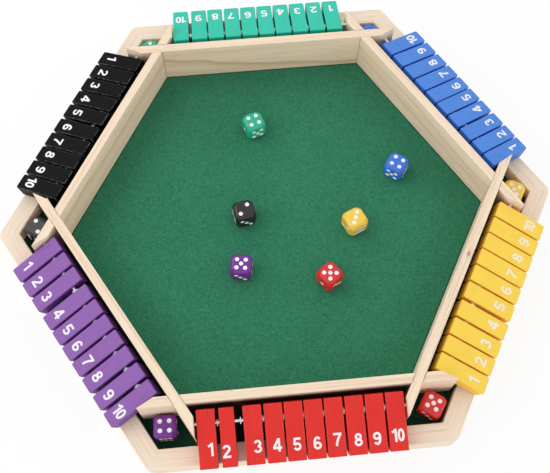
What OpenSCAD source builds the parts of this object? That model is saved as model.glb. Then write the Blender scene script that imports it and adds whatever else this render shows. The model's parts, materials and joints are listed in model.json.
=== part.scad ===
// Shut the box game for six players: a low hexagonal wooden tray with a felt floor,
// six crossing divider boards, six rows of ten numbered flip tiles on wires, and dice.
// Millimetres, +Z up. The origin is the middle of the underside. -Y is the red player's side.

/* [Tray and trough] */
// Distance from the middle of the tray to the inner face of each divider board
tray_apothem = 138.2; // [130:0.1:150]
// Clear width of the trough between a divider board and its rail
trough_w = 23.8; // [23:0.1:27]

/* [Base and felt] */
// Thickness of the plywood base panel
base_t = 3; // [2:0.5:6]
// Thickness of the felt sheet on the base panel
felt_t = 1; // [0.5:0.5:2]

/* [Frame rails] */
// Width of a rail, seen from above
rail_w = 13.6; // [10:0.1:18]
// Height of the rail top above the felt
rail_rise = 12.5; // [8:0.5:14]
// Depth of the rebate under the rail that holds the base panel and the felt
rebate_w = 7; // [4:0.5:8]
// Radius of the six outer corners of the frame
corner_r = 7; // [3:0.5:12]
// Clearance round the base panel in its rebate
panel_clear = 0.2; // [0.1:0.05:0.5]

/* [Divider boards] */
// Thickness of a divider board
board_t = 6.6; // [6:0.1:9]
// Height of a divider board above the felt
board_h = 35.5; // [33:0.5:40]
// Clearance round a crossing board in its half-lap notch
lap_clear = 0.1; // [0.05:0.05:0.4]
// Gap between the pointed end of a board and the rail
tip_gap = 2.3; // [1:0.1:4]

/* [Number tiles] */
// Thickness of a tile
tile_t = 10.5; // [8:0.5:12]
// Distance from the inner end of a tile to its wire hole
hole_from_end = 9.5; // [8:0.5:11]
// Height of the wire hole above the middle of a tile's thickness
hole_up = 1.6; // [0:0.1:2]
// Even gap between two tiles of a row
tile_gap = 1.4; // [1.3:0.1:2]
// Even gap between the last tile of a row and the mitred board end
end_gap = 2.9; // [2.9:0.1:5]
// How far a tile reaches past the outer top edge of the rail, along the tile
tile_reach = 1.4; // [0.5:0.1:3]
// Radius of the tile edges
tile_round = 0.9; // [0.4:0.1:1.5]
// How much narrower than its row's other tiles the red tile 2 is cut
narrow_trim = 2.2; // [0:0.1:3]
// Clearance between the inner end of a turning tile and the divider board
swing_clear = 0.9; // [0.5:0.1:2]
// Clearance under a tile where it lies on the rail
rest_clear = 0.25; // [0.1:0.05:0.4]

/* [Wires] */
// Diameter of a row's steel wire
rod_d = 2; // [1.5:0.1:2.4]
// Height of the divider board above the wire's axis
rod_drop = 8.1; // [7:0.1:9]
// Depth of the blind hole that holds each end of a wire
rod_set = 3.4; // [2:0.1:3.6]
// Radial clearance between a tile and its wire
rod_run = 0.08; // [0.02:0.01:0.1]
// Radial clearance between a board and the wire end in it
rod_seat = 0.03; // [0.01:0.01:0.1]
// Width across the wire of a pinched ear between two tiles
ear_w = 4.4; // [3:0.1:5]
// Length along the wire of a pinched ear
ear_l = 1.2; // [0.8:0.1:1.2]
// Thickness of a pinched ear
ear_t = 1; // [0.6:0.1:1.4]

/* [Dice] */
// Edge length of a die
die_s = 16; // [14:0.5:16]
// Radius of the die edges
die_round = 2; // [1:0.1:3]

/* [Hidden] */
$fn = 48;
margin = 1;
sides = 6;
side_angle = 360 / sides;
tiles_per_row = 10;
single_tiles = 8;

// Rows in the order of their outward directions, anticlockwise from -Y
row_names = ["red", "yellow", "blue", "green", "black", "purple"];
row_paints = ["#d92b2b", "#f5c228", "#2458c9", "#2f9a7f", "#26262a", "#7a45a8"];
first_row_angle = -90;
function row_angle(row) = first_row_angle + side_angle * row;

// Boards whose top runs on across both crossings: yellow, green and purple
function runs_over(row) = row % 2 == 1;

// Heights
felt_z = base_t;
floor_z = felt_z + felt_t;
rail_top = floor_z + rail_rise;
board_top = floor_z + board_h;
lap_z = floor_z + board_h / 2;
rod_z = board_top - rod_drop;

// Distances of the faces from the middle of the tray, straight out through a side
board_inner = tray_apothem;
board_outer = board_inner + board_t;
rail_inner = board_outer + trough_w;
rail_outer = rail_inner + rail_w;
panel_apothem = rail_inner + rebate_w - panel_clear;
hole_depth = tile_t / 2 + hole_up;
swing_r = norm([hole_from_end, hole_depth]);
rod_out = board_outer + swing_r + swing_clear;

// Half the length of a row, between the mitred ends of the two boards beside it
half_angle = side_angle / 2;
row_half = (board_outer - (rail_inner - tip_gap) * sin(half_angle)) / cos(half_angle);
tile_w = (2 * row_half - 2 * end_gap - (tiles_per_row - 1) * tile_gap) / tiles_per_row;
tile_pitch = tile_w + tile_gap;

// A tile lies on the outer top edge of its rail, so it slopes down to its player
rest_run = rail_outer - rod_out;
rest_drop = rod_z - rail_top - rest_clear;
rest_dist = norm([rest_run, rest_drop]);
rest_tilt = atan2(rest_drop, rest_run) - asin(hole_depth / rest_dist);
tile_l = hole_from_end + sqrt(pow(rest_dist, 2) - pow(hole_depth, 2)) + tile_reach;

// How much each row's tiles fall short of the even width, and the row and number of the narrow tile
tile_trims = [0, -0.2, 0, 0, 0, 0.6];
narrow_tile = [0, 2];
function tile_width(row, number) =
    tile_w - tile_trims[row] - ([row, number] == narrow_tile ? narrow_trim : 0);

// How far each tile of a row, 1 to 10, has been pushed along its wire from its even place
tile_slides = [
    [-1.1, -1.0, 2.3, 2.5, 2.2, 1.7, 1.4, 1.5, 1.4, 1.4],
    [-2.2, -2.2, -2.2, -1.8, -0.5, -0.3, -0.4, -0.6, -0.7, -0.7],
    [-2.2, -2.6, -2.7, -2.3, -2.4, -2.9, -3.1, -3.2, -3.2, -3.1],
    [1.5, 1.7, 1.7, 1.6, 1.5, 1.3, 1.2, 1.2, 0.8, 2.0],
    [0.3, 0.2, 0.2, -0.1, 0, 0.6, 0.6, 0.2, 0, -0.2],
    [-1.3, -1.1, -1.0, 1.3, 1.1, 1.0, 0.9, 0.9, 1.5, 1.9],
];
function tile_place(row, number) =
    (number - (tiles_per_row + 1) / 2) * tile_pitch + tile_slides[row][number - 1];
function tile_edge(row, number, side) =
    tile_place(row, number) + side * tile_width(row, number) / 2;
function ear_place(row, number) =
    (tile_edge(row, number, 1) + tile_edge(row, number + 1, -1)) / 2;

// Dice on the felt of the tray: x, y and turn
tray_dice = [
    [33.3, -54.0, 38.4],
    [57.6, -11.3, 23.7],
    [96.3, 32.8, -36.4],
    [-11.7, 80.2, 18.3],
    [-25.6, 3.1, 9.6],
    [-31.2, -40.8, -8.7],
];
// Dice in the corner compartments: offset from the compartment's middle, and turn
corner_dist = (board_outer + rail_inner) / 2 / cos(half_angle);
corner_dice = [
    [2.0, 1.0, -33.4],
    [0.9, 1.1, -31.1],
    [1.0, -0.2, 25.0],
    [-0.8, 0.4, 42.0],
    [-0.1, 3.2, 54.7],
    [-1.6, 2.7, -1.1],
];

function tile_node(row, number) = str(row_names[row], "_tile_", number);
function pair_node(row) = str(row_names[row], "_tiles_9_10");

// Turns a shape drawn towards +X so that it points out through a side of the tray
module in_row(row) {
    rotate([0, 0, row_angle(row)]) children();
}

// Hexagon whose flat sides lie at the given distance from the middle
module hexagon(apothem) {
    reach = apothem / cos(half_angle);
    polygon([for (i = [0 : sides - 1]) reach * [cos(i * side_angle), sin(i * side_angle)]]);
}

// The same hexagon with rounded corners
module rounded_hexagon(apothem, r) {
    reach = (apothem - r) / cos(half_angle);
    centres = [for (i = [0 : sides - 1]) reach * [cos(i * side_angle), sin(i * side_angle)]];
    polygon([
        for (i = [0 : sides - 1])
            for (turn = [-half_angle, half_angle])
                centres[i] + r * [cos(i * side_angle + turn), sin(i * side_angle + turn)]
    ]);
    for (centre = centres) translate(centre) circle(r);
}

// Rectangle with round corners, centred
module rounded_rectangle(w, h, r) {
    square([w - 2 * r, h], center = true);
    square([w, h - 2 * r], center = true);
    for (x = [-1, 1], y = [-1, 1])
        translate([x * (w / 2 - r), y * (h / 2 - r)]) circle(r);
}

// Block with rounded edges, centred
module rounded_block(l, w, t, r) {
    intersection() {
        linear_extrude(t, center = true) rounded_rectangle(l, w, r);
        rotate([90, 0, 0]) linear_extrude(w, center = true) rounded_rectangle(l, t, r);
        rotate([90, 0, 90]) linear_extrude(l, center = true) rounded_rectangle(w, t, r);
    }
}

// Plywood floor of the game, held in the rebate of the rails
module base_panel() {
    color("#c9a877") linear_extrude(base_t) hexagon(panel_apothem);
}

// One sheet of felt over the whole base panel
module playing_felt() {
    color("#366f55") translate([0, 0, felt_z]) linear_extrude(felt_t) hexagon(panel_apothem);
}

// One of the six outer rails, mitred at both ends and rebated underneath
module rail(row) {
    far = 2 * rail_outer;
    in_row(row) difference() {
        linear_extrude(rail_top) intersection() {
            rotate(half_angle) rounded_hexagon(rail_outer, corner_r);
            polygon([[0, 0], [far, -far * tan(half_angle)], [far, far * tan(half_angle)]]);
        }
        translate([0, 0, -margin]) linear_extrude(rail_top + 2 * margin)
            rotate(half_angle) hexagon(rail_inner);
        translate([0, 0, -margin]) linear_extrude(floor_z + margin)
            rotate(half_angle) hexagon(rail_inner + rebate_w);
    }
}

module rail_frame() {
    color("#ecd5b0") for (row = [0 : sides - 1]) rail(row);
}

// Length from the middle of a board to its mitred end, at a distance out from the tray's middle
function board_reach(out) = (out * cos(half_angle) - row_half) / sin(half_angle);

// Half-lap notch that the crossing board of another row needs, on the lower or upper half
module lap_notch(turn, upper) {
    notch_h = board_h / 2 + lap_clear / 2 + margin;
    rotate([0, 0, turn])
        translate([board_inner - lap_clear, -rail_outer, upper ? lap_z - lap_clear / 2 : floor_z - margin])
            cube([board_t + 2 * lap_clear, 2 * rail_outer, notch_h]);
}

// Blind hole in a mitred board end for the wire of the row beside it
module wire_hole(turn, end) {
    rotate([0, 0, turn]) translate([rod_out, end * (row_half - margin), rod_z])
        rotate([-90 * end, 0, 0]) cylinder(h = rod_set + margin, r = rod_d / 2 + rod_seat);
}

// Board between the tray and a row's trough, which runs on past both crossings
module divider_board(row) {
    inner_reach = board_reach(board_inner);
    outer_reach = board_reach(board_outer);
    in_row(row) difference() {
        translate([0, 0, floor_z]) linear_extrude(board_h) polygon([
            [board_inner, -inner_reach],
            [board_outer, -outer_reach],
            [board_outer, outer_reach],
            [board_inner, inner_reach],
        ]);
        for (turn = [-side_angle, side_angle]) lap_notch(turn, !runs_over(row));
        wire_hole(-side_angle, 1);
        wire_hole(side_angle, -1);
    }
}

module divider_boards() {
    color("#ecd5b0") for (row = [0 : sides - 1]) divider_board(row);
}

// Steel wire of a row, with an ear pinched flat in each gap between two tiles
module tile_wire(row) {
    in_row(row) translate([rod_out, 0, rod_z]) {
        rotate([90, 0, 0]) cylinder(h = 2 * (row_half + rod_set), r = rod_d / 2, center = true);
        for (number = [1 : tiles_per_row - 1])
            translate([0, ear_place(row, number), 0]) linear_extrude(ear_t, center = true)
                polygon([[-ear_w / 2, 0], [0, -ear_l / 2], [ear_w / 2, 0], [0, ear_l / 2]]);
    }
}

module tile_wires() {
    color("#c8c8cc") for (row = [0 : sides - 1]) tile_wire(row);
}

// One number tile, lying on its rail, with a running hole for its wire
module number_tile(row, number) {
    color(row_paints[row]) in_row(row)
        translate([rod_out, tile_place(row, number), rod_z]) rotate([0, rest_tilt, 0])
            difference() {
                translate([tile_l / 2 - hole_from_end, 0, -hole_up])
                    rounded_block(tile_l, tile_width(row, number), tile_t, tile_round);
                rotate([90, 0, 0])
                    cylinder(h = tile_w + 2 * margin, r = rod_d / 2 + rod_run, center = true);
            }
}

// The last two tiles of a row
module tile_pair(row) {
    for (number = [single_tiles + 1 : tiles_per_row]) number_tile(row, number);
}

// A die with rounded edges and ball-cut corners
module die() {
    translate([0, 0, die_s / 2]) intersection() {
        rounded_block(die_s, die_s, die_s, die_round);
        sphere(r = die_s * 0.75);
    }
}

module dice() {
    color("#8a4fb0") translate([0, 0, floor_z]) {
        for (place = tray_dice)
            translate([place[0], place[1], 0]) rotate([0, 0, place[2]]) die();
        for (row = [0 : sides - 1]) {
            corner = row_angle(row) + half_angle;
            place = corner_dice[row];
            translate(corner_dist * [cos(corner), sin(corner), 0])
                translate([place[0], place[1], 0]) rotate([0, 0, place[2]]) die();
        }
    }
}

base_panel();
playing_felt();
rail_frame();
divider_boards();
tile_wires();
dice();
for (row = [0 : sides - 1]) {
    for (number = [1 : single_tiles])
        number_tile(row, number);
    tile_pair(row);
}
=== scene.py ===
import json
from collections import namedtuple
from math import atan2, cos, hypot, pi, radians, sin, tan, tau
from random import Random

import bmesh
import bpy
from bpy.props import FloatProperty, FloatVectorProperty, PointerProperty
from mathutils import Matrix, Vector
from mathutils.geometry import delaunay_2d_cdt


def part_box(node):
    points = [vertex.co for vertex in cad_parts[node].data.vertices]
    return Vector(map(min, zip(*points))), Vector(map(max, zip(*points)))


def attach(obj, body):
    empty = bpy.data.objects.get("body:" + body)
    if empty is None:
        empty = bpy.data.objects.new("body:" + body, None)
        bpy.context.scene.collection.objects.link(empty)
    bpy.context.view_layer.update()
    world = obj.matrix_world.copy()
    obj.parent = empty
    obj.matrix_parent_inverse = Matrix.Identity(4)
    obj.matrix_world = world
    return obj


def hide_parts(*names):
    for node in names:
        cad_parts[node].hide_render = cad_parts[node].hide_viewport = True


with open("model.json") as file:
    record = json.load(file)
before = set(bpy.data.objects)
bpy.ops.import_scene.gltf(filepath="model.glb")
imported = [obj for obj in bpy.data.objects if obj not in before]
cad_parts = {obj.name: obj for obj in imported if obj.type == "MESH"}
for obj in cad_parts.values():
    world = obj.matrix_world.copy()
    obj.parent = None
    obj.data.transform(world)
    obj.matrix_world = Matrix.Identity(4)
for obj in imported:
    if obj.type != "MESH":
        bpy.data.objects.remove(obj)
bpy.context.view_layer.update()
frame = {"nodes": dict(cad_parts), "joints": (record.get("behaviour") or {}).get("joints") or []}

bl_info = {
    "name": "Six Player Shut the Box",
    "version": (1, 0, 0),
    "blender": (4, 5, 0),
    "location": "3D View > Sidebar > Game",
    "description": "Builds a hexagonal shut the box game with felt, number tiles and dice",
    "category": "Add Mesh",
}

# ---------------------------------------------------------------- the frame, row by row

MM = 0.001
SIDES = 6
ROWS = ("red", "yellow", "blue", "green", "black", "purple")
FIRST_ROW_ANGLE = radians(-90)
SIDE_ANGLE = tau / SIDES
HALF_ANGLE = SIDE_ANGLE / 2
SINGLE_TILES = 8


def row_turn(row):
    """Turns a shape drawn towards +X so that it points out to the player of a row."""
    return Matrix.Rotation(FIRST_ROW_ANGLE + SIDE_ANGLE * row, 4, "Z")


def row_points(node, row):
    """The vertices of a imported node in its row's own frame."""
    back = row_turn(row).inverted()
    return [back @ v.co for v in frame["nodes"][node].data.vertices]


def spread(values):
    """Lowest and highest of some values."""
    values = list(values)
    return min(values), max(values)


def hinge_of(body):
    """Where the wire's axis passes through a body, as the frame has it."""
    joint = next(j for j in frame["joints"] if j["child"] == body)
    return Vector(joint["pos_m"])


felt_low, felt_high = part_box("playing_felt")
_, rail_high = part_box("rail_frame")
_, board_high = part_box("divider_boards")
FLOOR_Z = felt_high.z
WIRE_OUT = -hinge_of("red_tile_1").y
WIRE_Z = hinge_of("red_tile_1").z
first_tile = row_points("red_tile_1", 0)
tile_out_low, tile_out_high = spread(p.x for p in first_tile)
tile_z_low, tile_z_high = spread(p.z for p in first_tile)
# How far the wire's hole lies above the middle of a tile's thickness
HOLE_UP = 1.6 * MM
tile_centre_out = (tile_out_low + tile_out_high) / 2 - WIRE_OUT
tile_centre_drop = WIRE_Z - (tile_z_low + tile_z_high) / 2
TILE_MIDDLE = (hypot(tile_centre_out, tile_centre_drop) ** 2 - HOLE_UP ** 2) ** 0.5
TILE_TILT = atan2(tile_centre_drop, tile_centre_out) - atan2(HOLE_UP, TILE_MIDDLE)


def size(name, description, default, low=0.0, high=1.0):
    """A length that can be set, in metres."""
    return FloatProperty(name=name, description=description, default=default,
                         min=low, max=high, unit="LENGTH", subtype="DISTANCE", precision=5)


def share(name, description, default, high=1.0):
    """A share from none to all."""
    return FloatProperty(name=name, description=description, default=default,
                         min=0.0, max=high, subtype="FACTOR")


def linear(channel):
    """Linear value of one 0 to 255 display channel."""
    value = channel / 255
    return value / 12.92 if value <= 0.04045 else ((value + 0.055) / 1.055) ** 2.4


def paint(name, description, red, green, blue):
    """A colour that can be set, given by its display channels."""
    return FloatVectorProperty(name=name, description=description, subtype="COLOR", size=3,
                               min=0.0, max=1.0,
                               default=(linear(red), linear(green), linear(blue)))


# ---------------------------------------------------------------- sizes and colours


class GameSizes(bpy.types.PropertyGroup):
    """Sizes of the wooden tray."""

    rail_outer: size("Rail Outer", "From the middle to the outer face of a rail", rail_high.y)
    rail_width: size("Rail Width", "Width of a rail, seen from above", 13.6 * MM)
    rail_top: size("Rail Top", "Height of the rail top", rail_high.z)
    rail_edge: size("Rail Edge", "Radius of a rail's eased top edges", 0.9 * MM)
    corner_radius: size("Corner Radius", "Radius of the frame's outer corners", 7 * MM)
    rebate_width: size("Rebate Width", "Depth of the rebate under a rail", 7 * MM)
    tray_apothem: size("Tray", "From the middle to the inner face of a board", 138.2 * MM)
    board_thickness: size("Board Thickness", "Thickness of a divider board", 6.6 * MM)
    board_top: size("Board Top", "Height of the divider boards' top", board_high.z)
    board_edge: size("Board Edge", "Radius of a board's eased edges", 0.45 * MM)
    lap_gap: size("Lap Gap", "Gap round a crossing board in its notch", 0.1 * MM)
    tip_gap: size("Tip Gap", "Gap between a board's pointed end and the rail", 2.3 * MM)
    felt_apothem: size("Felt", "From the middle to a side of the felt sheet", felt_high.y)


class TileSizes(bpy.types.PropertyGroup):
    """Sizes of the number tiles, their wires and their figures."""

    thickness: size("Tile Thickness", "Thickness of a tile", 10.5 * MM)
    hole_from_end: size("Hole From End", "From the inner end of a tile to its hole", 9.5 * MM)
    hole_up: size("Hole Up", "From the middle of a tile's thickness up to its hole", HOLE_UP)
    edge: size("Tile Edge", "Radius of the tile edges", 0.8 * MM)
    corner: size("Tile Corner", "Radius of a tile's outer corners, seen from above", 1.3 * MM)
    red_corner: size("Red Tile Corner", "The same radius for the crisper red tiles", 0.5 * MM)
    hole: size("Hole", "Diameter of the hole for the wire", 2.16 * MM)
    wire: size("Wire", "Diameter of the steel wire", 2 * MM)
    wire_set: size("Wire Set", "How deep each wire end sits in a board", 3.4 * MM)
    ear_width: size("Ear Width", "Width of a pinched ear across the wire", 4.7 * MM)
    ear_length: size("Ear Length", "Length of a pinched ear along the wire", 1.2 * MM)
    ear_thickness: size("Ear Thickness", "Thickness of a pinched ear", 1 * MM)
    ear_stand: size("Ear Stand", "Farthest that an ear stands from the next tile", 1.8 * MM)
    ear_clear: size("Ear Clearance", "Least gap between an ear and the next tile", 0.08 * MM)
    figure_height: size("Figure Height", "Height of a figure", 8.6 * MM)
    figure_place: size("Figure Place", "From the wire to the middle of a figure", 18.3 * MM)
    figure_stray: size("Figure Stray", "How far a figure may be printed off its place", 0.6 * MM)
    figure_film: size("Figure Film", "Thickness of a figure's print", 0.05 * MM)


class DiceSizes(bpy.types.PropertyGroup):
    """Sizes of the dice."""

    edge: size("Die", "Edge length of a die", 16 * MM)
    rounding: size("Die Rounding", "Radius of a die's edges", 2.9 * MM)
    ball: size("Die Ball", "Radius of the ball that a die's corners are turned to", 10.8 * MM)
    pip: size("Pip", "Diameter of a pip", 3.17 * MM)
    pip_depth: size("Pip Depth", "Depth of a pip", 0.35 * MM)
    pip_step: size("Pip Step", "From a face's middle line to its outer pips", 3.2 * MM)


class GameColours(bpy.types.PropertyGroup):
    """Colours of the wood, felt, paint and plastic."""

    early_wood: paint("Early Wood", "Pale wood between the rings", 248, 227, 201)
    late_wood: paint("Late Wood", "Darker wood of the rings", 206, 160, 112)
    blush_wood: paint("Blush Wood", "Pink wood of the fine streaks", 222, 172, 138)
    knot_wood: paint("Knot Wood", "Wood of a knot", 186, 112, 84)
    plywood: paint("Plywood", "Bare plywood of the underside", 205, 172, 128)
    felt: paint("Felt", "Felt of the tray", 51, 125, 94)
    steel: paint("Steel", "Bright steel wire", 250, 250, 252)
    figure: paint("Figure", "Print of the figures", 246, 244, 248)
    pip: paint("Pip", "Enamel in the pips", 250, 250, 250)
    red: paint("Red", "Red player's paint", 226, 52, 46)
    yellow: paint("Yellow", "Yellow player's paint", 254, 216, 84)
    blue: paint("Blue", "Blue player's paint", 79, 137, 224)
    green: paint("Green", "Green player's paint", 44, 199, 173)
    black: paint("Black", "Black player's paint", 16, 16, 16)
    purple: paint("Purple", "Purple player's paint", 145, 98, 174)
    red_die: paint("Red Dice", "Plastic of the red dice", 218, 40, 38)
    yellow_die: paint("Yellow Dice", "Plastic of the yellow dice", 252, 208, 78)
    blue_die: paint("Blue Dice", "Plastic of the blue dice", 56, 116, 222)
    green_die: paint("Green Dice", "Plastic of the green dice", 34, 178, 142)
    black_die: paint("Black Dice", "Plastic of the black dice", 30, 29, 31)
    purple_die: paint("Purple Dice", "Plastic of the purple dice", 114, 38, 148)


class StageSettings(bpy.types.PropertyGroup):
    """Light and floor of the studio."""

    floor_size: size("Floor", "Width of the floor", 6.0, 1.0, 20.0)
    sky: FloatProperty(name="Sky", description="Strength of the light from all round, low down",
                       default=1.64, min=0.0, max=3.0)
    zenith: share("Zenith", "Share of that strength straight overhead", 0.28)
    lamp: FloatProperty(name="Lamp", description="Power of the soft lamp to the left",
                        default=5.0, min=0.0, max=500.0, unit="POWER")
    lamp_size: size("Lamp Size", "Width of the soft lamp", 1.2, 0.1, 5.0)
    lamp_place: FloatVectorProperty(name="Lamp Place", description="Where the soft lamp hangs",
                                    default=(-0.9, 0.35, 1.1), subtype="TRANSLATION", size=3)
    shadow: share("Shadow", "Share of the floor's shadow that the camera sees", 0.16)


# ---------------------------------------------------------------- node helpers

WHITE = (1, 1, 1, 1)
NOWHERE = (0, 0, 0)


def feed(tree, node, given):
    """Links sockets to a node's inputs and sets plain values on its other inputs."""
    for name, value in given.items():
        if isinstance(value, bpy.types.NodeSocket):
            tree.links.new(value, node.inputs[name])
        else:
            node.inputs[name].default_value = value


def add(tree, kind, given=None, **settings):
    """A new node, with its settings and with values or links for its inputs."""
    made = tree.nodes.new(kind)
    for name, value in settings.items():
        setattr(made, name, value)
    feed(tree, made, given or {})
    return made


def calc(tree, operation, *values, clamp=False):
    """Output of a Math node."""
    given = dict(enumerate(values))
    return add(tree, "ShaderNodeMath", given, operation=operation, use_clamp=clamp).outputs[0]


def plus(tree, first, second):
    """Sum of two values."""
    return calc(tree, "ADD", first, second)


def minus(tree, first, second):
    """What is left of the first value without the second."""
    return calc(tree, "SUBTRACT", first, second)


def times(tree, first, second):
    """Product of two values."""
    return calc(tree, "MULTIPLY", first, second)


def swing(tree, value, amount):
    """Turns noise round a half into noise round nought, times an amount."""
    return times(tree, minus(tree, value, 0.5), amount)


def lifted(tree, value, tone):
    """A tone's least value, with what noise adds to it."""
    least, added = tone
    return plus(tree, times(tree, value, added), least)


def vector_calc(tree, operation, *values):
    """Output of a Vector Math node."""
    made = add(tree, "ShaderNodeVectorMath", dict(enumerate(values)), operation=operation)
    return made.outputs["Value" if operation in ("LENGTH", "DOT_PRODUCT") else "Vector"]


def split_axes(tree, place):
    """The X, Y and Z of a place."""
    return add(tree, "ShaderNodeSeparateXYZ", {"Vector": place}).outputs


def ramp(tree, value, start, end, low=0.0, high=1.0):
    """Smooth step from low to high as a value goes from start to end."""
    given = {"Value": value, "From Min": start, "From Max": end, "To Min": low, "To Max": high}
    made = add(tree, "ShaderNodeMapRange", given, interpolation_type="SMOOTHSTEP")
    return made.outputs["Result"]


def fade(tree, value, start, end):
    """Smooth step from one down to nought as a value goes from start to end."""
    return ramp(tree, value, start, end, 1.0, 0.0)


def noise(tree, place, seed, scales, detail=2.0):
    """Noise that is stretched by its own scale along each axis."""
    stretched = vector_calc(tree, "MULTIPLY", place, scales)
    given = {"Vector": stretched, "W": seed, "Scale": 1.0, "Detail": detail}
    return add(tree, "ShaderNodeTexNoise", given, noise_dimensions="4D").outputs["Fac"]


def mix(tree, factor, first, second, blend_type="MIX"):
    """Colour between two colours."""
    made = add(tree, "ShaderNodeMix", {0: factor, 6: first, 7: second},
               data_type="RGBA", blend_type=blend_type)
    return made.outputs[2]


def shaded(tree, colour, tone):
    """A colour times a grey tone."""
    grey = add(tree, "ShaderNodeCombineColor", {"Red": tone, "Green": tone, "Blue": tone})
    return mix(tree, 1.0, colour, grey.outputs["Color"], "MULTIPLY")


def rgba(colour):
    """A set colour with its fourth channel."""
    return (*colour, 1.0)


def mix_colours(first, second, factor):
    """Colour between two set colours."""
    return tuple(a + (b - a) * factor for a, b in zip(first, second))


def socket_kind(default):
    """Kind of socket for a default: one number, a vector of three or a colour of four."""
    if not isinstance(default, tuple):
        return "NodeSocketFloat"
    return "NodeSocketVector" if len(default) == 3 else "NodeSocketColor"


def built_group(name, inputs, outputs, fill):
    """A shader node group with named inputs and outputs, built the first time it is asked for."""
    found = bpy.data.node_groups.get(name)
    if found:
        return found
    tree = bpy.data.node_groups.new(name, "ShaderNodeTree")
    for label, default in inputs.items():
        socket = tree.interface.new_socket(label, in_out="INPUT", socket_type=socket_kind(default))
        socket.default_value = default
    for label, default in outputs.items():
        tree.interface.new_socket(label, in_out="OUTPUT", socket_type=socket_kind(default))
    given = tree.nodes.new("NodeGroupInput").outputs
    results = fill(tree, given)
    end = tree.nodes.new("NodeGroupOutput")
    feed(tree, end, results)
    return tree


def effect(tree, group, given):
    """Outputs of a node group placed in a material with its own values."""
    return add(tree, "ShaderNodeGroup", given, node_tree=group).outputs


def started(name):
    """A new material with its node tree, its principled shader, and the place and seed of a point."""
    made = bpy.data.materials.new(name)
    made.use_nodes = True
    tree = made.node_tree
    shader = tree.nodes["Principled BSDF"]
    place = add(tree, "ShaderNodeAttribute", attribute_name="at").outputs["Vector"]
    seed = add(tree, "ShaderNodeAttribute", attribute_name="seed").outputs["Fac"]
    return made, tree, shader, place, seed


def dressed(tree, shader, given, height, depth, strength):
    """Gives a shader its inputs, and bumps of a depth and strength where a height varies."""
    feed(tree, shader, given)
    bumps = add(tree, "ShaderNodeBump", {"Height": height, "Distance": depth, "Strength": strength})
    tree.links.new(bumps.outputs["Normal"], shader.inputs["Normal"])


# ---------------------------------------------------------------- shared effects

# How often wood varies in each direction of a trunk along Y, per metre
TRUNK_WOBBLE = (22, 3.2, 22)
RING_PATCHES = (14, 2.5, 14)
BAND_WAVER = (5, 17, 5)
FIBRES = (760, 14, 760)
FINE_STREAKS = (560, 7, 560)
BLUSH_PATCHES = (90, 5, 90)
RESIN_CANALS = (900, 46, 900)
# How far the rings and the band stray from their true place, and the rings round a knot
RING_STRAY = 28 * MM
BAND_STRAY = 22 * MM
KNOT_SWIRL = 6 * MM
# Parts of a ring over which its wood darkens, and over which the next ring starts pale
LATE_RISE = (0.25, 0.86)
LATE_END = (0.9, 1.0)
# Levels of noise over which the rings grow to their full strength, and their least strength
RINGS_RISE = (0.35, 0.7)
FAINT_RINGS = 0.25
# Edges of the dark band above, of its faint lower part and of its foot, in widths from its middle
BAND_TOP = (0.1, 0.8)
BAND_BODY = (-3.0, -0.4)
BAND_FOOT = (-6.0, -3.0)
FAINT_BAND = 0.3
# Edge of a knot and of the bend of the rings round it, in knot sizes, and the strength of its colour
KNOT_EDGE = (0.35, 1.0)
KNOT_BEND = (0.6, 4.0)
KNOT_TINT = 0.7
# Levels of noise over which a streak, a pink patch and a resin canal begin to show
STREAK_RISE = (0.52, 0.68)
BLUSH_RISE = (0.45, 0.7)
CANAL_RISE = (0.63, 0.71)
BLUSH_MOST = 0.35
# Tone and roughness of wood: where its fibres add nothing, and what they add at most
FIBRE_TONE = (0.89, 0.22)
FIBRE_ROUGHNESS = (0.5, 0.16)
# How much darker a canal is, and how far late wood and a canal lie below the fibres
CANAL_TONE = 0.18
LATE_SINK = 0.3
CANAL_SINK = 0.4
# How often the wear on edges is broken up, per metre, and the levels of noise over which it shows
WEAR_BREAKS = (420, 420, 420)
WEAR_RISE = (0.38, 0.62)
# How often a film varies per metre, and how much its roughness does
BRUSH_LINES = (30, 560, 560)
FILM_BLOTCHES = (130, 130, 130)
FILM_TEXTURE = (2600, 2600, 2600)
FILM_ROUGHNESS = 0.16
# What one surface effect puts out
SURFACE = {"Color": WHITE, "Height": 0.0, "Roughness": 0.5}


def late_wood(tree, given, knot_share):
    """Mask of the dark late wood: it ends sharply at each ring and bends round the knot."""
    place, seed = given["Place"], given["Seed"]
    across = vector_calc(tree, "MULTIPLY", vector_calc(tree, "ADD", place, given["Pith"]), (1, 0, 1))
    wobble = swing(tree, noise(tree, place, seed, TRUNK_WOBBLE, 1.5), RING_STRAY)
    swirl = ramp(tree, knot_share, *KNOT_BEND, KNOT_SWIRL, 0.0)
    radius = plus(tree, plus(tree, vector_calc(tree, "LENGTH", across), wobble), swirl)
    turn = calc(tree, "FRACT", calc(tree, "DIVIDE", radius, given["Ring Width"]))
    late = times(tree, ramp(tree, turn, *LATE_RISE), fade(tree, turn, *LATE_END))
    patch = noise(tree, place, seed, RING_PATCHES, 1.0)
    strength = times(tree, given["Contrast"], ramp(tree, patch, *RINGS_RISE, FAINT_RINGS, 1.0))
    return calc(tree, "MULTIPLY", late, strength, clamp=True)


def dark_band(tree, given):
    """Mask of one dark band along a piece: sharp above, and fading downwards."""
    place = given["Place"]
    spot = split_axes(tree, place)
    waver = swing(tree, noise(tree, place, given["Seed"], BAND_WAVER), BAND_STRAY)
    middle = plus(tree, given["Band Height"], waver)
    middle = plus(tree, middle, times(tree, spot["Y"], given["Band Slope"]))
    above = calc(tree, "DIVIDE", minus(tree, spot["Z"], middle), given["Band Width"])
    band = times(tree, fade(tree, above, *BAND_TOP), ramp(tree, above, *BAND_BODY, FAINT_BAND, 1.0))
    band = times(tree, band, ramp(tree, above, *BAND_FOOT))
    return times(tree, band, given["Band Strength"])


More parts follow.
